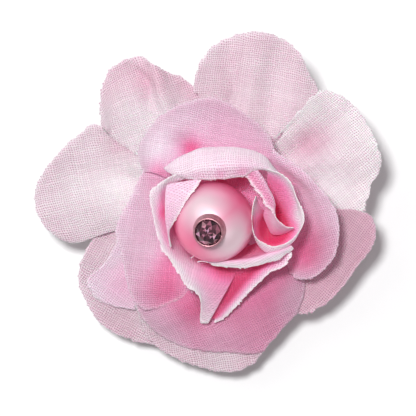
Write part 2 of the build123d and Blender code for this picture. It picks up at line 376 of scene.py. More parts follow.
class Nodes:
    """A material's node tree, with short ways to add what the materials here use."""

    def __init__(self, name, slot=None):
        self.material = bpy.data.materials.new(name)
        self.material.use_nodes = True
        self.tree = self.material.node_tree
        self.shader = self.tree.nodes["Principled BSDF"]
        if slot:
            self.material["slot"] = slot

    def add(self, kind, **settings):
        node = self.tree.nodes.new(kind)
        for key, value in settings.items():
            setattr(node, key, value)
        return node

    def put(self, socket, value):
        if isinstance(value, bpy.types.NodeSocket):
            self.tree.links.new(value, socket)
        else:
            socket.default_value = value

    def math(self, operation, a, b=0.0, c=0.0):
        node = self.add("ShaderNodeMath", operation=operation)
        for socket, value in zip(node.inputs, (a, b, c)):
            self.put(socket, value)
        return node.outputs[0]

    def ramp(self, factor, stops):
        """Colour that runs through stops of (position, screen colour)."""
        node = self.add("ShaderNodeValToRGB")
        elements = node.color_ramp.elements
        for position, colour in stops[1:-1]:
            elements.new(position).color = srgb(*colour)
        for element, (position, colour) in ((elements[0], stops[0]), (elements[-1], stops[-1])):
            element.position, element.color = position, srgb(*colour)
        self.put(node.inputs[0], factor)
        return node.outputs[0]

    def mix(self, factor, a, b, blend="MIX"):
        node = self.add("ShaderNodeMix", data_type="RGBA", blend_type=blend)
        for socket, value in zip((node.inputs[0], node.inputs[6], node.inputs[7]), (factor, a, b)):
            self.put(socket, value)
        return node.outputs[2]

    def attribute(self, name):
        return self.add("ShaderNodeAttribute", attribute_name=name).outputs["Fac"]

    def noise(self, vector, scale, detail=2.0, roughness=0.5):
        node = self.add("ShaderNodeTexNoise")
        self.put(node.inputs["Vector"], vector)
        for socket, value in (("Scale", scale), ("Detail", detail), ("Roughness", roughness)):
            node.inputs[socket].default_value = value
        return node.outputs["Fac"]

    def place(self):
        """Position in the piece, in metres."""
        return self.add("ShaderNodeTexCoord").outputs["Object"]

    def bump(self, height, distance, strength=1.0):
        node = self.add("ShaderNodeBump")
        node.inputs["Distance"].default_value = distance
        node.inputs["Strength"].default_value = strength
        self.put(node.inputs["Height"], height)
        self.put(self.shader.inputs["Normal"], node.outputs[0])

    def set(self, **values):
        for key, value in values.items():
            self.put(self.shader.inputs[key.replace("_", " ")], value)


def thread_run(nodes, along, drift, seed):
    """One of the weave's two sets of threads: each thread's number, profile and shade."""
    place = nodes.math("MULTIPLY_ADD", along, 1 / THREAD, drift)
    number = nodes.math("FLOOR", place)
    profile = nodes.math("SINE", nodes.math("MULTIPLY", nodes.math("FRACT", place), pi))
    chance = nodes.add("ShaderNodeTexWhiteNoise", noise_dimensions="1D")
    nodes.put(chance.inputs["W"], nodes.math("ADD", number, seed))
    return number, profile, chance.outputs["Value"]


def weave(nodes):
    """Height of a plain weave, the gaps between its threads, and each thread's own shade."""
    uv = nodes.add("ShaderNodeUVMap", uv_map="flat").outputs[0]
    split = nodes.add("ShaderNodeSeparateXYZ")
    nodes.put(split.inputs[0], uv)
    wander = nodes.noise(uv, WANDER_SCALE)
    runs = [thread_run(nodes, split.outputs[axis], nodes.math("MULTIPLY", wander, WANDER[axis]),
                       37.5 * axis) for axis in range(2)]
    numbers, threads, shades = zip(*runs)
    over = nodes.math("FLOORED_MODULO", nodes.math("ADD", *numbers), 2.0)
    warp = nodes.math("MULTIPLY", threads[0], nodes.math("MULTIPLY_ADD", threads[1], 0.5, 0.5))
    weft = nodes.math("MULTIPLY", threads[1], nodes.math("MULTIPLY_ADD", threads[0], 0.5, 0.5))
    height = nodes.math("MULTIPLY_ADD", over, nodes.math("SUBTRACT", warp, weft), weft)
    gap = nodes.math("MULTIPLY", *[nodes.math("SUBTRACT", 1.0, thread) for thread in threads])
    shade = nodes.math("MULTIPLY", nodes.math("ADD", *shades), 0.5)
    return height, gap, shade


def cloth_material(name, dye_and_shade_colours, gauze, painted_glow):
    """Woven petal cloth, dyed along its length, with painted shade and glow where the dye is deepest in the
    hollows, greyed by painted shade, and with paler cut edges.

    gauze is how far its open weave shows what is under it, and its glow is painted:
    an emission that stands for the light that comes through it from the far side.
    """
    nodes = Nodes(name, name)
    height, gap, shade = weave(nodes)
    # dye ramp: real dye, deepening into painted shade and glow in the hollows
    dyed_and_shaded = nodes.ramp(nodes.attribute("dye_and_shade"), list(zip(DYE_AND_SHADE_STEPS, dye_and_shade_colours)))
    # painted shade: greys the cloth where its shade is painted
    shade_greyed = nodes.mix(nodes.attribute("painted_shade"), dyed_and_shaded, PAINTED_SHADE_TINT, "MULTIPLY")
    threads = nodes.mix(shade, shade_greyed, THREAD_TINT, "MULTIPLY")
    hole = nodes.math("MULTIPLY", nodes.math("MULTIPLY", gap, nodes.attribute("open")), gauze)
    hole.node.use_clamp = True
    woven = nodes.mix(hole, threads, HOLE_TINT, "MULTIPLY")
    edged = nodes.mix(nodes.attribute("edge"), woven, srgb(*CUT_EDGE))
    # the emission below is a painted glow, coloured like the cloth
    nodes.set(
        Base_Color=edged, Roughness=0.8, Sheen_Weight=0.12, Sheen_Roughness=0.4,
        Subsurface_Weight=0.7, Subsurface_Radius=(1.0, 0.7, 0.85), Subsurface_Scale=0.0004,
        Emission_Color=edged, Emission_Strength=painted_glow,
    )
    nodes.bump(height, 0.00012, 0.85)
    return nodes.material


# ramps from pale cloth to the deepest dye; the deep colours are partly painted shade and glow for the
# hollows, and the darkest inner one paints the shade of the cone's floor
OUTER_CLOTH = cloth_material("outer_cloth", [
    (248, 245, 246), (249, 217, 229), (246, 168, 203), (248, 120, 174),
], gauze=2.0, painted_glow=0.03)
MIDDLE_CLOTH = cloth_material("middle_cloth", [
    (247, 230, 242), (248, 198, 223), (252, 152, 194), (255, 100, 160),
], gauze=1.6, painted_glow=0.06)
INNER_CLOTH = cloth_material("inner_cloth", [
    (245, 238, 244), (248, 206, 228), (255, 148, 196), (216, 44, 102),
], gauze=1.5, painted_glow=0.1)


# ---- first rows of the outer ring ----
def root_row(toward_x, toward_y, h, half=1.3):
    """Short first row of a petal, square to the way it grows from the core."""
    way = np.array((toward_x, toward_y)) - CORE
    way /= np.linalg.norm(way)
    side = np.array((-way[1], way[0])) * half
    base = CORE + way * CORE_R
    return [(*(base + side * k), h) for k in (-1, 0, 1)]


def outer_petals():
    """Seven open petals that lie low round the flower."""
    # each petal's greying and its greying spots are painted shade; its dye spots are partly painted shade,
    # and painted light where they take dye away
    ring = dict(cloth=OUTER_CLOTH, held="laid", ripple=0.24, depth=0.3, pale_edge=0.2)
    petal("outer_top", [
        root_row(6, 25, 0.5),
        [(14.0, 12.0, 0.5), (10.6, 15.0, 1.4), (8.4, 16.4, 1.2), (5.0, 17.6, 2.2), (2.6, 17.4, 0.4),
         (0.8, 17.0, 1.3), (-1.8, 14.6, 1.3)],
        [(15.4, 17.0, 1.2), (12.4, 21.0, 2.2), (9.0, 22.2, 1.5), (5.6, 22.4, 2.7), (3.0, 22.0, 0.9),
         (1.0, 21.4, 2.0), (-2.2, 19.0, 1.9)],
        [(16.3, 18.4, 1.2), (15.8, 20.5, 1.3), (14.7, 22.5, 1.8), (13.2, 25.6, 2.6), (10.9, 27.8, 2.7),
         (7.3, 29.1, 3.0), (4.6, 28.9, 2.4), (2.6, 28.3, 1.9), (0.2, 27.1, 2.4), (-1.8, 24.8, 2.8),
         (-2.8, 22.5, 2.5), (-3.2, 20.0, 2.1)],
    ], node="outer_petal_1", flat=(23, 23), seed=1, grain=8,
        dye_and_shade=(0.3, 0.18, 0.07), painted_shade=(0.2, 0.6), painted_shade_spots=[(2.8, 19.6, 2.4, 0.15)], **ring)
    petal("outer_upper_left", [
        root_row(-12, 22, 0.3),
        [(-2.5, 15.0, 0.6), (-5.5, 16.6, 1.2), (-7.6, 17.4, 2.2), (-9.0, 17.6, 1.2), (-10.8, 16.4, 2.0),
         (-12.4, 13.5, 1.8), (-14.0, 9.0, 1.3)],
        [(-1.6, 17.8, 0.4), (-5.0, 20.2, 1.0), (-8.6, 21.0, 2.8), (-10.1, 21.8, 0.9), (-12.0, 21.2, 2.0),
         (-14.4, 18.6, 2.4), (-16.2, 12.0, 1.6)],
        [(-1.0, 18.5, 0.4), (-2.8, 20.5, 0.6), (-5.2, 22.2, 1.0), (-7.5, 23.1, 1.7), (-9.6, 24.3, 2.9),
         (-11.1, 25.3, 1.7), (-13.2, 24.9, 2.3), (-15.6, 23.6, 2.4), (-17.0, 21.0, 2.0), (-17.4, 17.9, 1.7),
         (-17.3, 14.5, 1.6), (-17.0, 11.5, 1.6), (-15.5, 8.5, 1.4)],
    ], node="outer_petal_2", flat=(19, 20), seed=2, grain=-20,
        dye_and_shade=(0.2, 0.0, 0.14), painted_shade=(0.1, 0.65),
        dye_and_shade_spots=[(-16.0, 16.4, 2.8, -0.16), (-3.6, 19.4, 2.6, 0.16), (-10.2, 21.8, 2.4, 0.22),
                (-9.0, 18.8, 2.2, 0.12)], **ring)
    petal("outer_left", [
        root_row(-25, 6, 0.9),
        [(-9.0, 9.0, 2.0), (-13.0, 9.6, 2.4), (-16.0, 7.6, 1.5), (-16.6, 4.4, 2.3), (-15.0, 1.8, 2.4),
         (-11.0, 0.2, 1.6)],
        [(-9.0, 8.6, 2.4), (-11.2, 9.8, 2.5), (-15.9, 13.3, 2.6), (-17.1, 14.6, 2.5), (-18.7, 14.9, 2.3),
         (-20.5, 13.5, 2.3), (-23.6, 10.7, 2.9), (-26.3, 7.2, 2.2), (-27.4, 4.4, 1.9), (-26.9, 1.1, 2.4),
         (-25.1, -1.5, 2.3), (-22.3, -3.1, 1.9), (-20.0, -2.9, 1.8), (-17.4, -2.0, 2.0),
         (-12.5, -0.6, 2.0)],
    ], node="outer_petal_3", flat=(20, 21), seed=3, grain=-12,
        dye_and_shade=(0.12, 0.08, 0.0), painted_shade=(-0.7, 0.7), dye_and_shade_spots=[(-14.5, 12.0, 3.0, 0.2)], **ring)
    petal("outer_lower_left", [
        root_row(-16, -14, 0.5),
        [(-14.5, 0.0, 0.8), (-15.2, -5.5, 1.2), (-13.0, -10.5, 1.2), (-7.5, -13.0, 1.0),
         (-4.0, -12.5, 0.9)],
        [(-16.5, -0.4, 1.0), (-19.0, -3.4, 1.4), (-20.2, -5.8, 1.9), (-20.7, -8.9, 1.7),
         (-19.7, -11.9, 1.9), (-17.4, -15.3, 1.7), (-13.6, -17.7, 1.7), (-10.1, -18.6, 1.4),
         (-6.0, -19.0, 1.2)],
    ], node="outer_petal_4", flat=(21, 21), seed=4, grain=30,
        dye_and_shade=(0.4, 0.14, 0.12), painted_shade=(0.4, 0.8), dye_and_shade_spots=[(-19.5, -8.5, 2.6, -0.14)],
        painted_shade_spots=[(-15.5, -16.0, 3.0, 0.5)], **ring)
    petal("outer_bottom", [
        root_row(2, -20, 1.9),
        [(-9.5, -10.0, 2.3), (-6.5, -14.5, 2.6), (0.0, -16.0, 2.6), (6.6, -14.0, 2.6), (9.4, -9.5, 2.7)],
        [(-12.2, -12.4, 2.2), (-11.6, -14.2, 2.2), (-10.3, -17.2, 2.2), (-8.3, -19.4, 2.4),
         (-4.4, -21.4, 2.8), (-0.6, -22.6, 2.4), (3.2, -22.8, 2.9), (6.2, -21.4, 2.5), (8.0, -18.8, 2.8),
         (9.4, -16.2, 2.9), (10.4, -13.4, 2.9), (10.8, -10.5, 2.9)],
    ], node="outer_petal_5", flat=(23, 22), seed=5, grain=-12,
        dye_and_shade=(0.5, 0.2, 0.08), painted_shade=(0.7, 0.85), dye_and_shade_spots=[(0.4, -20.8, 2.6, -0.1)],
        painted_shade_spots=[(-9.5, -20.5, 3.5, 0.3)], **ring)
    petal("outer_lower_right", [
        root_row(22, -8, 1.4),
        [(10.0, -11.5, 2.2), (15.0, -10.0, 2.5), (17.5, -5.5, 2.2), (16.5, -0.5, 2.4), (13.0, 3.0, 2.2)],
        [(10.5, -13.0, 2.4), (12.7, -14.0, 2.5), (14.9, -13.7, 2.7), (16.4, -12.9, 2.6), (18.5, -11.2, 2.7),
         (20.4, -9.0, 2.4), (22.0, -6.6, 2.5), (23.8, -4.5, 2.7), (24.6, -2.6, 2.7), (24.4, 0.2, 2.6),
         (22.6, 1.6, 2.5), (18.0, 2.2, 2.5), (14.5, 3.5, 2.4)],
    ], node="outer_petal_6", flat=(20, 20), seed=6, grain=40,
        dye_and_shade=(0.6, 0.34, 0.28), painted_shade=(1.0, 1.0), **ring)
    petal("outer_right", [
        root_row(20, 10, 0.9),
        [(14.0, 0.5, 1.4), (16.0, 3.2, 2.2), (17.0, 6.2, 1.6), (16.0, 9.4, 2.7), (13.8, 12.2, 1.7),
         (11.4, 13.0, 2.3), (9.3, 11.6, 2.4)],
        [(17.0, -0.2, 1.7), (20.0, 2.0, 2.0), (21.6, 6.0, 1.5), (20.6, 11.6, 2.8), (18.0, 15.2, 1.5),
         (14.8, 16.6, 2.4), (10.6, 13.8, 2.6)],
        [(18.0, -0.5, 1.8), (21.6, 0.4, 1.9), (23.5, 3.4, 2.2), (24.0, 5.7, 1.8), (25.3, 7.7, 2.0),
         (25.5, 10.0, 2.6), (24.6, 12.7, 2.8), (23.1, 15.6, 2.0), (20.8, 18.3, 1.6), (18.5, 19.7, 2.2),
         (16.2, 20.0, 2.6), (12.4, 16.2, 2.7), (8.9, 12.5, 2.6)],
    ], node="outer_petal_7", flat=(21, 22), seed=7, grain=-38,
        dye_and_shade=(0.5, 0.1, 0.03), painted_shade=(0.3, 0.0), dye_and_shade_spots=[(14.2, 12.2, 2.4, 0.25)],
        painted_shade_spots=[(14.6, 12.0, 2.8, 0.8), (17.4, 13.4, 2.6, 0.6)], **ring)


def middle_petals():
    """Five cupped petals between the outer ring and the rosette."""
    # each petal's greying and its greying spots are painted shade; its dye spots are partly painted shade,
    # and painted light where they take dye away
    ring = dict(cloth=MIDDLE_CLOTH, held="gathered", ripple=0.1, depth=0.26, pale_edge=0.25)
    petal("middle_top", [
        [(3.6, 4.6, 3.0), (0.4, 5.2, 3.0), (-2.8, 4.6, 3.0)],
        [(8.2, 9.0, 6.6), (4.4, 11.2, 6.8), (0.4, 12.4, 6.8), (-2.6, 12.4, 6.6), (-4.0, 11.4, 6.1),
         (-6.0, 10.6, 7.4), (-8.8, 7.4, 7.6)],
        [(8.9, 10.8, 7.6), (6.4, 13.4, 7.9), (3.6, 15.6, 8.3), (0.6, 16.4, 8.3), (-3.0, 15.6, 7.4),
         (-6.6, 14.2, 8.4), (-9.6, 11.4, 7.7), (-10.4, 7.6, 7.0)],
        [(9.2, 11.4, 7.4), (8.4, 13.2, 7.7), (6.9, 14.8, 8.0), (4.4, 16.8, 8.4), (1.5, 18.5, 8.6),
         (-0.3, 19.0, 8.4), (-3.8, 18.4, 7.8), (-6.9, 17.1, 7.9), (-9.3, 15.1, 7.3), (-11.3, 11.9, 6.6),
         (-11.6, 10.1, 6.4), (-10.6, 7.0, 6.6)],
    ], node="middle_petal_1", flat=(21, 18), seed=11, grain=10,
        dye_and_shade=(0.8, 0.28, 0.08), painted_shade=(-0.3, 1.0),
        dye_and_shade_spots=[(-3.5, 11.4, 1.7, 0.6), (-8.6, 11.8, 3.2, -0.3), (-4.1, 15.6, 3.2, -0.14),
                (-8.6, 7.6, 1.6, 0.35)], painted_shade_spots=[(-9.0, 11.6, 3.4, -0.6), (-4.1, 15.6, 3.0, -0.2)], **ring)
    petal("middle_right", [
        [(2.6, -1.4, 3.4), (3.2, 1.4, 3.4), (3.0, 3.6, 3.4)],
        [(11.0, -7.6, 3.8), (13.2, -5.0, 4.4), (14.0, -1.0, 5.6), (13.6, 2.6, 6.0), (11.6, 6.2, 6.2),
         (7.6, 9.0, 6.4)],
        [(12.0, -8.0, 5.2), (15.4, -6.6, 6.4), (17.2, -3.4, 7.8), (17.2, 0.4, 8.3), (15.4, 4.4, 8.6),
         (12.2, 7.6, 8.6), (8.8, 10.4, 8.0)],
        [(12.1, -8.4, 5.2), (13.8, -8.8, 5.8), (15.5, -8.3, 6.6), (17.4, -6.6, 7.6), (18.7, -4.4, 8.2),
         (19.1, -2.1, 8.6), (19.0, 0.3, 8.8), (18.2, 2.4, 8.8), (16.7, 4.6, 9.0), (14.2, 7.3, 9.0),
         (11.8, 9.3, 8.6), (9.0, 11.0, 8.2)],
    ], node="middle_petal_5", flat=(21, 17), seed=12, grain=-15,
        dye_and_shade=(0.8, 0.28, 0.02), painted_shade=(0.0, 0.8), dye_and_shade_spots=[(14.2, -4.6, 4.0, 0.5), (10.8, 6.2, 1.8, 0.3)],
        painted_shade_spots=[(16.4, -4.0, 2.8, 0.6)], **ring)
    petal("middle_left", [
        [(-2.2, 4.2, 3.2), (-3.2, 1.8, 3.2), (-2.6, -0.6, 3.2)],
        [(-7.6, 8.2, 5.9), (-9.4, 3.6, 6.6), (-10.2, -0.6, 6.4), (-9.8, -4.6, 5.4), (-7.8, -7.6, 4.8),
         (-4.6, -8.6, 4.8), (-2.2, -7.6, 5.0)],
        [(-9.6, 9.0, 6.2), (-11.8, 4.4, 7.7), (-13.0, 1.0, 7.9), (-13.4, -3.0, 7.4), (-12.5, -7.4, 5.9),
         (-11.0, -10.9, 4.9), (-8.8, -12.0, 4.5), (-5.4, -11.0, 4.8), (-2.2, -9.2, 5.0)],
        [(-9.9, 9.6, 6.3), (-11.8, 5.8, 7.5), (-13.3, 2.8, 7.9), (-15.0, -0.9, 7.8), (-14.8, -2.7, 7.6),
         (-14.1, -5.0, 7.1), (-13.6, -7.5, 6.3), (-12.9, -10.7, 5.2), (-11.8, -12.6, 4.6),
         (-10.4, -13.4, 4.4), (-8.8, -13.2, 4.4), (-6.6, -12.3, 4.7), (-3.9, -11.1, 5.0),
         (-1.9, -9.9, 5.1)],
    ], node="middle_petal_2", flat=(20, 16), seed=13, grain=5,
        dye_and_shade=(0.8, 0.14, 0.04), painted_shade=(0.1, 0.6),
        dye_and_shade_spots=[(-6.9, -11.2, 4.4, 0.6), (-6.6, -6.2, 3.0, 0.3), (-9.0, 6.2, 2.0, 0.2)],
        painted_shade_spots=[(-7.4, -11.4, 3.6, 0.6)], **ring)
    petal("middle_lower_left", [
        [(-2.6, 1.4, 2.2), (-2.8, -0.4, 2.2), (-1.8, -1.6, 2.2)],
        [(-11.6, -1.0, 3.2), (-13.0, -5.4, 2.9), (-11.6, -9.6, 2.6), (-8.0, -11.6, 2.5)],
        [(-13.6, -0.8, 3.4), (-14.8, -2.9, 3.4), (-15.9, -5.0, 3.3), (-17.4, -7.0, 3.0), (-19.2, -8.5, 2.5),
         (-19.3, -9.8, 2.3), (-17.9, -11.7, 2.2), (-15.9, -12.7, 2.1), (-13.0, -13.3, 2.1),
         (-9.0, -14.2, 2.2)],
    ], node="middle_petal_3", flat=(16, 14), seed=14, grain=35,
        dye_and_shade=(0.8, 0.25, 0.06), painted_shade=(0.1, 0.2),
        dye_and_shade_spots=[(-13.8, -10.4, 3.0, 0.16), (-15.6, -4.6, 1.6, -0.2)], **ring)
    petal("middle_bottom", [
        [(-1.8, -1.2, 2.8), (0.3, -1.6, 2.8), (2.4, -1.0, 2.8)],
        [(-9.6, -9.0, 3.4), (-7.0, -11.8, 4.4), (-3.6, -12.6, 5.0), (-1.0, -13.4, 3.6), (5.0, -12.6, 5.2),
         (9.6, -8.6, 5.0), (10.6, -5.4, 3.4)],
        [(-11.4, -12.0, 3.1), (-7.6, -15.4, 4.2), (-3.4, -16.2, 3.6), (1.0, -16.6, 4.0), (7.0, -15.6, 4.1),
         (11.4, -10.4, 4.1), (12.4, -6.0, 3.5)],
        [(-12.2, -11.6, 3.0), (-11.2, -14.2, 3.0), (-8.6, -17.0, 3.0), (-4.3, -19.2, 3.1),
         (-0.8, -19.8, 3.0), (2.3, -19.9, 3.2), (5.1, -20.1, 3.1), (7.0, -20.0, 3.1), (8.9, -18.2, 3.2),
         (10.9, -15.8, 3.0), (12.6, -14.0, 2.8), (13.8, -10.8, 2.8), (13.8, -6.6, 3.3)],
    ], node="middle_petal_4", flat=(24, 22), seed=15, grain=-25,
        dye_and_shade=(0.9, 0.64, 0.42), painted_shade=(1.0, 1.0),
        dye_and_shade_spots=[(-3.2, -13.6, 2.2, 0.15), (-9.4, -13.8, 4.0, -0.3), (-6.6, -18.6, 3.0, -0.15),
                (0.4, -16.6, 3.4, -0.12), (13.0, -11.8, 3.4, -0.2)], **ring)


def inner_petals():
    """Seven folded pieces that make the rosette round the pearl."""
    # each petal's greying is painted shade; its dye spots are partly painted shade, and painted light where
    # they take dye away
    ring = dict(cloth=INNER_CLOTH, held="folded", folded=True, ripple=0.05, depth=0.34,
                pale_edge=0.9)
    petal("inner_top", [
        [(3.4, 4.4, 3.6), (0.4, 5.0, 3.6), (-2.6, 4.4, 3.6)],
        [(9.8, 7.0, 7.6), (7.0, 9.2, 7.8), (4.0, 10.4, 8.0), (0.0, 10.4, 8.0), (-3.6, 9.6, 8.0),
         (-6.8, 7.6, 8.0)],
        [(10.0, 7.4, 10.4), (8.9, 8.6, 10.6), (7.8, 10.0, 10.8), (6.2, 10.8, 11.0), (3.6, 11.3, 11.1),
         (1.0, 11.4, 11.1), (-2.1, 11.2, 11.0), (-3.6, 10.6, 10.9), (-5.6, 9.7, 10.8), (-7.7, 8.2, 10.6)],
        [(9.9, 7.5, 11.8), (9.0, 8.1, 12.6), (7.8, 8.8, 13.3), (5.0, 9.4, 14.1), (2.4, 9.5, 14.2),
         (-1.0, 9.2, 14.0), (-3.2, 8.6, 13.5), (-5.4, 7.9, 12.6), (-7.2, 7.8, 11.3)],
        [(9.8, 7.5, 11.9), (8.9, 7.8, 12.8), (7.8, 8.2, 13.5), (5.0, 8.5, 14.4), (2.4, 8.4, 14.5),
         (-1.0, 8.1, 14.3), (-3.0, 7.6, 13.7), (-5.0, 7.2, 12.7), (-6.6, 7.4, 11.5)],
        [(9.6, 7.4, 11.4), (8.7, 7.6, 12.4), (7.4, 8.0, 13.2), (6.0, 7.8, 13.6), (4.6, 7.0, 13.4),
         (3.1, 6.8, 13.3), (1.7, 6.6, 13.3), (0.0, 6.5, 13.2), (-2.0, 6.5, 13.0), (-3.8, 6.6, 12.6),
         (-5.2, 6.9, 12.0), (-6.2, 7.2, 11.3)],
    ], node="inner_petal_1", flat=(20, 19), seed=21, grain=2, count=60,
        dye_and_shade=(0.85, 0.16, 0.22),
        dye_and_shade_spots=[(1.0, 7.2, 1.0, 0.25), (4.4, 7.4, 1.2, 0.25), (-2.4, 7.0, 0.8, 0.1)], **ring)
    petal("inner_flap", [
        [(-6.5, -3.0, 8.5), (-6.9, -1.0, 8.7), (-7.0, 2.2, 9.0), (-6.8, 5.0, 9.5)],
        [(-6.7, -3.8, 11.0), (-7.1, -1.5, 12.2), (-7.4, 0.6, 12.8), (-7.4, 3.0, 13.1), (-7.2, 5.6, 12.2)],
        [(-6.6, -3.8, 11.2), (-7.0, -1.5, 12.4), (-7.2, 0.6, 13.0), (-7.1, 3.1, 13.4), (-6.8, 5.8, 12.4)],
        [(-6.5, -3.8, 11.3), (-6.9, -1.4, 12.4), (-6.2, -0.2, 13.3), (-5.1, 1.7, 14.2), (-3.9, 3.8, 14.3),
         (-3.0, 4.9, 14.0), (-2.0, 6.6, 12.8)],
    ], node="inner_petal_2", flat=(10, 10), seed=22, grain=-30, loose=0.75,
        dye_and_shade=(0.6, 0.4, 0.32), **ring)
    petal("inner_left", [
        [(-4.6, 4.4, 6.0), (-5.4, 1.0, 6.0), (-5.2, -2.6, 6.0), (-3.2, -5.2, 6.4), (0.4, -6.4, 7.4),
         (3.6, -7.4, 8.6)],
        [(-5.2, 6.4, 11.4), (-7.8, 4.4, 10.4), (-7.9, 0.6, 10.0), (-7.0, -3.4, 9.8), (-4.2, -6.9, 9.8),
         (-1.4, -9.4, 9.2), (1.4, -11.4, 7.8)],
        [(-2.4, 6.9, 12.4), (-4.0, 7.3, 12.4), (-5.6, 7.4, 12.3), (-8.0, 6.1, 12.0), (-9.7, 4.5, 11.5),
         (-9.4, 1.4, 11.3), (-8.8, -1.2, 11.0), (-8.0, -4.1, 10.7), (-7.0, -5.4, 10.5), (-5.4, -7.8, 10.1),
         (-4.4, -9.6, 9.8), (-3.0, -10.6, 9.5), (-2.2, -11.4, 8.8), (-2.0, -13.0, 7.4), (-2.0, -15.2, 5.4),
         (-0.9, -15.5, 5.2)],
    ], node="inner_petal_3", flat=(21, 10), seed=23, grain=40,
        dye_and_shade=(0.85, 0.5, 0.0), painted_shade=(0.6, 0.2),
        dye_and_shade_spots=[(-4.6, -5.6, 3.2, -0.2), (0.9, -7.6, 2.2, 0.16), (-7.8, 1.4, 1.2, 0.3),
                (-1.4, -13.0, 3.0, 0.15)], **ring)
    petal("inner_band", [
        [(-1.2, -4.6, 5.0), (3.0, -4.6, 5.0), (7.0, -3.0, 5.0), (9.6, -2.0, 5.2)],
        [(-1.6, -5.9, 9.4), (2.4, -5.8, 9.4), (6.6, -5.0, 9.4), (10.6, -3.6, 9.2)],
        [(-1.3, -6.05, 11.8), (2.4, -6.0, 12.4), (5.4, -5.7, 12.5), (7.8, -5.1, 12.4), (10.3, -4.3, 11.8),
         (11.8, -3.6, 11.2)],
        [(-0.6, -6.3, 11.9), (2.4, -6.4, 12.5), (5.4, -6.2, 12.6), (7.8, -5.6, 12.5), (10.3, -4.7, 11.9),
         (12.0, -3.8, 11.3)],
        [(-0.3, -6.6, 11.7), (2.4, -6.9, 12.1), (4.9, -7.0, 12.2), (7.2, -6.5, 12.1), (8.9, -6.0, 11.8),
         (10.3, -5.5, 11.5), (10.9, -4.9, 11.3), (12.2, -4.1, 11.1)],
    ], node="inner_petal_4", flat=(14, 11), seed=24, grain=12,
        dye_and_shade=(0.95, 0.7, 0.0), **ring)
    petal("inner_lower_right", [
        [(9.4, -4.0, 8.6), (5.0, -5.6, 8.6), (2.4, -7.6, 8.2), (0.0, -10.0, 6.8), (-1.5, -12.8, 5.4),
         (-2.0, -14.9, 4.5)],
        [(10.2, -4.8, 9.2), (7.0, -6.8, 9.0), (4.8, -8.8, 8.2), (2.6, -11.4, 6.6), (0.0, -14.8, 4.7)],
        [(11.7, -4.2, 10.5), (11.8, -5.3, 10.5), (11.2, -6.3, 10.4), (10.3, -7.0, 10.4), (9.0, -7.4, 10.2),
         (8.0, -8.2, 9.8), (7.2, -9.0, 9.2), (5.8, -10.3, 8.4), (4.9, -11.3, 7.7), (3.8, -12.4, 6.9),
         (2.4, -13.9, 5.8), (1.2, -15.0, 5.0), (0.0, -15.3, 4.8)],
    ], node="inner_petal_5", flat=(10, 10), seed=25, grain=-35,
        dye_and_shade=(0.9, 0.95, 0.2), painted_shade=(0.2, 0.2), **ring)
    petal("inner_cone", [
        [(8.0, 1.4, 6.0), (7.9, 0.2, 6.0), (8.3, -0.6, 6.0), (9.0, -0.5, 6.0), (9.4, 0.4, 6.0),
         (9.3, 1.4, 6.0), (8.8, 1.9, 6.0)],
        [(6.9, 2.6, 9.6), (6.6, -0.6, 9.4), (7.6, -2.8, 9.2), (9.9, -2.6, 9.2), (11.6, -0.4, 9.6),
         (11.0, 2.8, 10.0), (9.6, 5.2, 10.4), (8.2, 6.2, 10.8)],
        [(6.5, 3.8, 11.6), (5.9, 1.0, 11.5), (6.0, -1.6, 11.3), (7.1, -3.9, 11.2), (8.4, -4.8, 11.2),
         (10.3, -4.2, 11.3), (12.2, -2.8, 11.6), (13.1, -0.4, 11.9), (12.8, 2.2, 12.1), (11.6, 5.2, 12.1),
         (10.0, 7.0, 12.3), (8.2, 7.8, 12.6)],
        [(6.4, 4.0, 13.0), (6.0, 2.8, 13.1), (5.8, 1.4, 13.0), (5.8, -0.4, 12.9), (6.3, -2.2, 12.8),
         (7.4, -3.2, 12.7), (8.8, -3.7, 12.7), (10.7, -3.4, 12.7), (12.2, -2.4, 12.8), (13.3, -1.0, 12.9),
         (13.8, 0.4, 13.0), (13.5, 1.8, 13.1), (12.6, 3.8, 13.2), (11.9, 5.7, 13.3), (10.4, 7.3, 13.3),
         (8.1, 8.1, 13.3)],
    ], node="inner_petal_6", flat=(20, 10), seed=26, grain=20, count=56,
        dye_and_shade=(1.0, 0.8, 0.0),
        dye_and_shade_spots=[(11.4, 4.0, 2.4, -0.06), (9.3, -1.6, 2.4, 0.35), (13.0, 1.0, 1.3, -0.5),
                (6.4, 2.2, 1.5, -0.4)], **ring)
    petal("inner_roll", [
        [(12.0, -1.2, 10.2), (10.3, -1.9, 9.4), (8.9, -1.8, 9.2), (8.1, -0.4, 9.4), (7.6, 1.0, 10.0),
         (8.0, 3.0, 10.6), (7.6, 5.0, 11.2), (6.4, 7.6, 11.8)],
        [(12.2, -0.9, 12.6), (10.8, -0.8, 12.6), (9.6, 0.2, 12.8), (9.3, 1.4, 13.0), (9.3, 2.8, 13.2),
         (8.9, 4.0, 13.4), (8.2, 5.2, 13.6), (7.4, 6.6, 13.7), (6.3, 8.0, 13.6)],
        [(12.2, -0.85, 12.8), (11.0, -0.7, 13.0), (10.3, -0.2, 13.2), (9.5, 0.6, 13.4), (8.9, 1.7, 13.6),
         (8.3, 2.2, 13.6), (7.6, 3.1, 13.6), (7.2, 3.9, 13.5), (6.6, 4.7, 13.4), (5.7, 5.9, 13.2),
         (4.8, 7.1, 12.9)],
    ], flat=(10, 10), seed=27, grain=50, loose=0.7,
        dye_and_shade=(0.6, 0.35, 0.6), painted_shade=(0.3, 0.9), **ring)


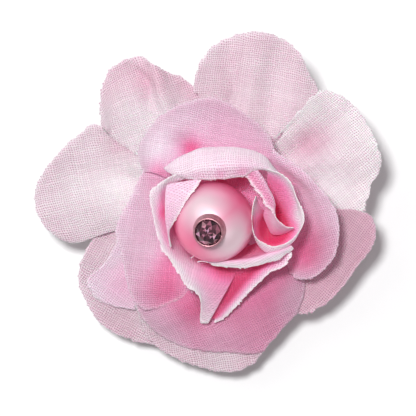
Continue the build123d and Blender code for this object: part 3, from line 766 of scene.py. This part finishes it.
# ---- materials of the pearl, the stone and the clip ----
def pearl_material():
    """Pearl with painted light: pale round its two painted highlights and deeper pink towards its sides,
    partly its own colour and partly a painted reflection of the petals round it.
    """
    nodes = Nodes("pearl")
    away = []
    for highlight in PEARL_HIGHLIGHTS:
        distance = nodes.add("ShaderNodeVectorMath", operation="DISTANCE")
        nodes.put(distance.inputs[0], nodes.place())
        distance.inputs[1].default_value = (PEARL + turned(highlight, TURN)) * MM
        away.append(distance.outputs["Value"])
    mottle = nodes.noise(nodes.place(), 160.0, 3.0)
    reach = nodes.math("MULTIPLY_ADD", mottle, 0.0012, nodes.math("MINIMUM", *away))
    share = nodes.math("DIVIDE", reach, 2 * PEARL_R * MM)
    # pale near the painted highlights, deeper pink further off as partly a painted reflection
    colour = nodes.ramp(share, [
        (0.18, (234, 204, 214)), (0.3, (238, 180, 200)), (0.43, (238, 134, 168)),
        (0.54, (240, 106, 150)),
    ])
    nodes.set(Base_Color=colour, Metallic=0.3, Roughness=0.4, Coat_Weight=0.5, Coat_Roughness=0.28)
    return nodes.material


def metal_material(name, colour, worn, roughness, scale):
    """Metal with a fine grain that runs from its own colour to a worn one."""
    nodes = Nodes(name)
    grain = nodes.noise(nodes.place(), scale, 4.0, 0.6)
    nodes.set(Base_Color=nodes.ramp(grain, [(0.3, colour), (0.75, worn)]), Metallic=1.0,
              Roughness=nodes.math("MULTIPLY_ADD", grain, 0.25, roughness))
    nodes.bump(grain, 0.00003, 0.5)
    return nodes.material


def stone_material():
    """Foil-backed crystal with painted reflections: every facet gets its own tint, standing in for what it
    mirrors.
    """
    nodes = Nodes("stone", "stone")
    tint = nodes.ramp(nodes.attribute("facet_reflection"), [
        (0.0, (48, 28, 38)), (0.5, (104, 56, 72)), (0.75, (140, 84, 98)),
        (0.88, (176, 104, 128)), (1.0, (240, 186, 220)),
    ])
    nodes.set(Base_Color=tint, Metallic=0.35, Roughness=0.08, Coat_Weight=1.0, Coat_Roughness=0.02)
    return nodes.material


def glue_material():
    """Cloudy dried glue."""
    nodes = Nodes("glue")
    cloud = nodes.noise(nodes.place(), 500.0, 3.0)
    colour = nodes.ramp(cloud, [(0.3, (236, 196, 208)), (0.7, (250, 226, 234))])
    nodes.set(Base_Color=colour, Roughness=0.25, Subsurface_Weight=0.4, Subsurface_Scale=0.001)
    nodes.bump(cloud, 0.00008, 0.6)
    return nodes.material


def felt_material():
    """Matted felt with a fuzzy face."""
    nodes = Nodes("felt")
    fuzz = nodes.noise(nodes.place(), 2600.0, 5.0, 0.7)
    colour = nodes.ramp(fuzz, [(0.3, (214, 158, 180)), (0.7, (246, 214, 226))])
    nodes.set(Base_Color=colour, Roughness=0.95, Sheen_Weight=0.6, Sheen_Roughness=0.5)
    nodes.bump(fuzz, 0.0003, 1.0)
    return nodes.material


# ---- cup rim, stone, glue, felt and spring ----
def add_piece(name, points, faces, material, smooth_faces=True):
    """Adds a mesh that rides with the flower, its points in millimetres."""
    piece = new_object(name, new_mesh(name, points, faces, smooth_faces), material)
    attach(piece, "flower_half")
    return piece


def pearl_axis_frame():
    """Turns the pearl's own frame, its drill hole upright, into the shared one."""
    nod_x = Matrix.Rotation(PEARL_NOD * -sin(PEARL_NOD_TO), 3, "X")
    nod_y = Matrix.Rotation(PEARL_NOD * cos(PEARL_NOD_TO), 3, "Y")
    return lean @ np.array(nod_x @ nod_y)


def stone_points():
    """The middle of the stone's table, then its rings, each with STONE_SIDES points."""
    points = [(0, 0, STONE_TOP)]
    for number, (radius, height) in enumerate(STONE_RINGS):
        shift = 0.5 * min(number, STONE_TWISTED)
        for side in range(STONE_SIDES):
            angle = 2 * pi * (side + shift) / STONE_SIDES
            points.append((radius * cos(angle), radius * sin(angle), height))
    return points


def stone_faces():
    """Table, triangular facets between twisted rings, four-sided ones below, and base."""
    sides, rings = STONE_SIDES, len(STONE_RINGS)
    faces = [(0, 1 + side, 1 + (side + 1) % sides) for side in range(sides)]
    for number in range(rings - 1):
        low, high = 1 + number * sides, 1 + (number + 1) * sides
        for side in range(sides):
            following = (side + 1) % sides
            if number < STONE_TWISTED:
                faces.append((low + side, high + side, low + following))
                faces.append((low + following, high + side, high + following))
            else:
                faces.append((low + side, high + side, high + following, low + following))
    last = rings * sides
    faces.append(tuple(range(last, last - sides, -1)))
    return faces


def rhinestone():
    """Round crystal in the pearl's cup, every facet with a painted reflection tint of its own."""
    placed = PEARL + np.array(stone_points()) @ pearl_axis_frame().T
    faces = stone_faces()
    piece = add_piece("crystal", placed, faces, stone_material(), smooth_faces=False)
    # random painted reflections: mostly dark facets and a few bright painted glints
    reflection_tints = np.random.default_rng(4).random(len(faces)) ** 1.8
    piece.data.attributes.new("facet_reflection", "FLOAT", "FACE").data.foreach_set("value", reflection_tints)
    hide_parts("rhinestone")


def ring_faces(rows, sides):
    """Four-sided faces between neighbouring closed rows of points."""
    faces = []
    for row in range(rows - 1):
        for number in range(sides):
            a, b = row * sides + number, row * sides + (number + 1) % sides
            faces.append((a, b, b + sides, a + sides))
    return faces


def tube(path, radii, sides=10):
    """Points and faces of a round tube that follows a path, closed at both ends."""
    path = np.asarray(path, float)
    along = np.gradient(path, axis=0)
    along /= np.linalg.norm(along, axis=1, keepdims=True)
    side = np.cross(along[0], (0.3, 0.2, 0.9))
    points = []
    for place, way, radius in zip(path, along, radii):
        side = side - way * (side @ way)
        side /= np.linalg.norm(side)
        other = np.cross(way, side)
        for number in range(sides):
            angle = 2 * pi * number / sides
            points.append(place + (side * cos(angle) + other * sin(angle)) * radius)
    faces = ring_faces(len(path), sides)
    last = (len(path) - 1) * sides
    faces.append(tuple(range(sides - 1, -1, -1)))
    faces.append(tuple(range(last, last + sides)))
    return points, faces


def bezel():
    """Rolled rim of the stone's cup."""
    tilt = pearl_axis_frame()
    ring = [PEARL + tilt @ np.array((CUP_RIM_R * cos(a), CUP_RIM_R * sin(a), CUP_RIM_H))
            for a in np.linspace(0, 2 * pi, CUP_RIM_STEPS + 1)]
    points, faces = tube(ring, [CUP_RIM_WIRE] * len(ring))
    metal = metal_material("cup_rim", (178, 122, 134), (212, 162, 170), 0.3, 1500.0)
    add_piece("cup_rim", points, faces, metal)


def glue_wisps(material):
    """Two strings of glue pulled out from under the pearl."""
    strings = [
        [(-3.5, -5.5, 11.6), (-3.1, -5.2, 12.4), (-2.9, -4.8, 13.2)],
        [(-2.5, -6.1, 11.5), (-1.8, -6.0, 12.3), (-0.9, -6.2, 12.4)],
    ]
    for number, string in enumerate(strings):
        path = seen(even(string, 16))
        points, faces = tube(path, np.linspace(0.12, 0.05, 16), 8)
        add_piece(f"glue_string_{number + 1}", points, faces, material)


def felt_profile():
    """Outline of the felt pad from its middle over the rim and back: (radius, height)."""
    half, flat_r = FELT_H / 2, FELT_R - 0.5
    profile = [(radius, half) for radius in np.linspace(0.3, flat_r, 40)]
    profile += [(flat_r + 0.45 * sin(bend), half * cos(bend) ** 0.6)
                for bend in np.linspace(0.2, pi / 2, 6)]
    return profile + [(radius, -height) for radius, height in reversed(profile[:-1])]


def felt_point(radius, height, angle):
    """A point of the felt's soft, uneven surface, in the shared frame."""
    x, y = radius * cos(angle), radius * sin(angle)
    bulge = 0.06 * noise.noise((x * 1.5, y * 1.5, height))
    bulge += 0.05 * noise.noise((x * 5, y * 5, height + 9))
    near_rim = smooth(np.array((radius - FELT_R + 1.5) / 1.5))
    ragged = near_rim * 0.12 * noise.noise((12 * cos(angle), 12 * sin(angle), 1))
    spread = 1 + ragged / radius
    level = FLOWER[2] - FELT_H / 2 + height - FELT_SINK + bulge * 0.5
    return from_clip((x * spread, y * spread + FLOWER[1], level))


def felt_disc():
    """Felt pad with a soft, slightly uneven cut edge."""
    sides = 240
    angles = 2 * pi * np.arange(sides) / sides
    profile = felt_profile()
    points = [felt_point(radius, height, a) for radius, height in profile for a in angles]
    faces = [(a, d, c, b) for a, b, c, d in ring_faces(len(profile), sides)]
    faces.append(tuple(range(sides)))
    faces.append(tuple(range(len(points) - 1, len(points) - 1 - sides, -1)))
    piece = add_piece("felt_disc", points, faces, felt_material())
    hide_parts("felt_pad")


def spring(material):
    """Coil round the pin whose upper leg stays with the flower and lower leg with the jaw."""
    upper, lower = SPRING_SLOPES
    turns = SPRING_TURNS + (lower - upper) / 360
    length = turns * SPRING_PITCH
    share = np.linspace(0, 1, 120)
    angle = radians(180 + upper) + 2 * pi * turns * share
    y, z = SPRING_R * np.sin(angle), -SPRING_R * np.cos(angle)
    coil = HINGE + np.stack([length * (share - 0.5), y, z], -1)
    legs = []
    for end, following in ((0, 1), (-1, -2)):
        way = coil[end] - coil[following]
        way /= np.linalg.norm(way)
        legs.append(coil[end] + way * np.linspace(SPRING_LEG, 0.3, 12)[:, None])
    path = from_clip(np.concatenate([legs[0], coil, legs[1][::-1]]))
    radii = np.full(len(path), WIRE_R)
    radii[[0, -1]] = 0.7 * WIRE_R
    points, faces = tube(path, radii, 14)
    piece = new_object("spring_wire", new_mesh("spring_wire", points, faces), material)
    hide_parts("torsion_spring")
    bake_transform(piece)


def dress(node, material):
    """Gives a CAD node its material in place of the plain one."""
    piece = frame["nodes"][node]
    if not piece.material_slots:
        piece.data.materials.append(material)
    for place in piece.material_slots:
        place.material = material


def dress_clip():
    """Pearl, stone, glue, felt, arms and spring, each in its material."""
    steel = metal_material("clip_steel", (164, 166, 172), (206, 208, 213), 0.24, 700.0)
    coiled = metal_material("spring_steel", (168, 170, 176), (206, 208, 212), 0.2, 900.0)
    # the cup's pink tint is partly painted reflection of the pink petals round it
    cup_metal = metal_material("cup_metal", (150, 104, 112), (206, 168, 172), 0.2, 1500.0)
    dress("pearl", pearl_material())
    dress("stone_cup", cup_metal)
    rhinestone()
    bezel()
    glue = glue_material()
    for node in ("clip_glue", "glue_core"):
        dress(node, glue)
    felt_disc()
    glue_wisps(glue)
    for node in ("top_arm", "lower_arm", "hinge_pin"):
        dress(node, steel)
    spring(coiled)


# ---- floor, lights, camera ----
def add_floor():
    """Pale table top, wide enough to fill every view."""
    half = FLOOR_HALF
    mesh = bpy.data.meshes.new("floor")
    corners = [(-half, -half, 0), (half, -half, 0), (half, half, 0), (-half, half, 0)]
    mesh.from_pydata(corners, [], [(0, 1, 2, 3)])
    nodes = Nodes("floor")
    nodes.set(Base_Color=(0.88, 0.89, 0.89, 1), Roughness=0.9, Specular_IOR_Level=0.1)
    floor = new_object("floor", mesh, nodes.material)


def add_light(name, azimuth, elevation, distance, size, power):
    """Softbox at an azimuth of the flower's plan, aimed at the pearl; angles in degrees."""
    light = bpy.data.lights.new(name, "AREA")
    light.shape, light.size, light.energy = "DISK", size, power
    lamp = new_object(name, light)
    bearing, rise = radians(azimuth) + TURN, radians(elevation)
    way = Vector((cos(bearing) * cos(rise), sin(bearing) * cos(rise), sin(rise)))
    lamp.location = Vector(PEARL * MM) + way * distance
    lamp.rotation_euler = way.to_track_quat("Z", "Y").to_euler()


def add_camera():
    """Camera straight above, as wide as the plan and turned with the flower."""
    data = bpy.data.cameras.new("camera")
    data.sensor_width = SENSOR_WIDTH
    data.lens = SENSOR_WIDTH * (CAMERA_HEIGHT - PLAN_HEIGHT) / PLAN_WIDTH
    data.clip_start, data.clip_end = 0.01, 10.0
    camera = new_object("camera", data)
    camera.location = CAMERA * MM
    camera.rotation_euler = (0, 0, TURN)
    bpy.context.scene.camera = camera


def add_world():
    """Soft, slightly pink light from all round."""
    world = bpy.data.worlds.new("studio")
    world.use_nodes = True
    background = world.node_tree.nodes["Background"]
    background.inputs["Color"].default_value = (1.0, 0.93, 0.96, 1)
    background.inputs["Strength"].default_value = 0.27
    bpy.context.scene.world = world


outer_petals()
middle_petals()
inner_petals()
dress_clip()
add_floor()
add_light("key", azimuth=130, elevation=76, distance=0.6, size=0.11, power=3.2)
add_light("softbox_left", azimuth=140, elevation=42, distance=0.5, size=0.36, power=0.42)
add_light("softbox_right", azimuth=-45, elevation=40, distance=0.5, size=0.3, power=0.2)
add_world()
add_camera()
bpy.context.scene.view_settings.view_transform = "Standard"
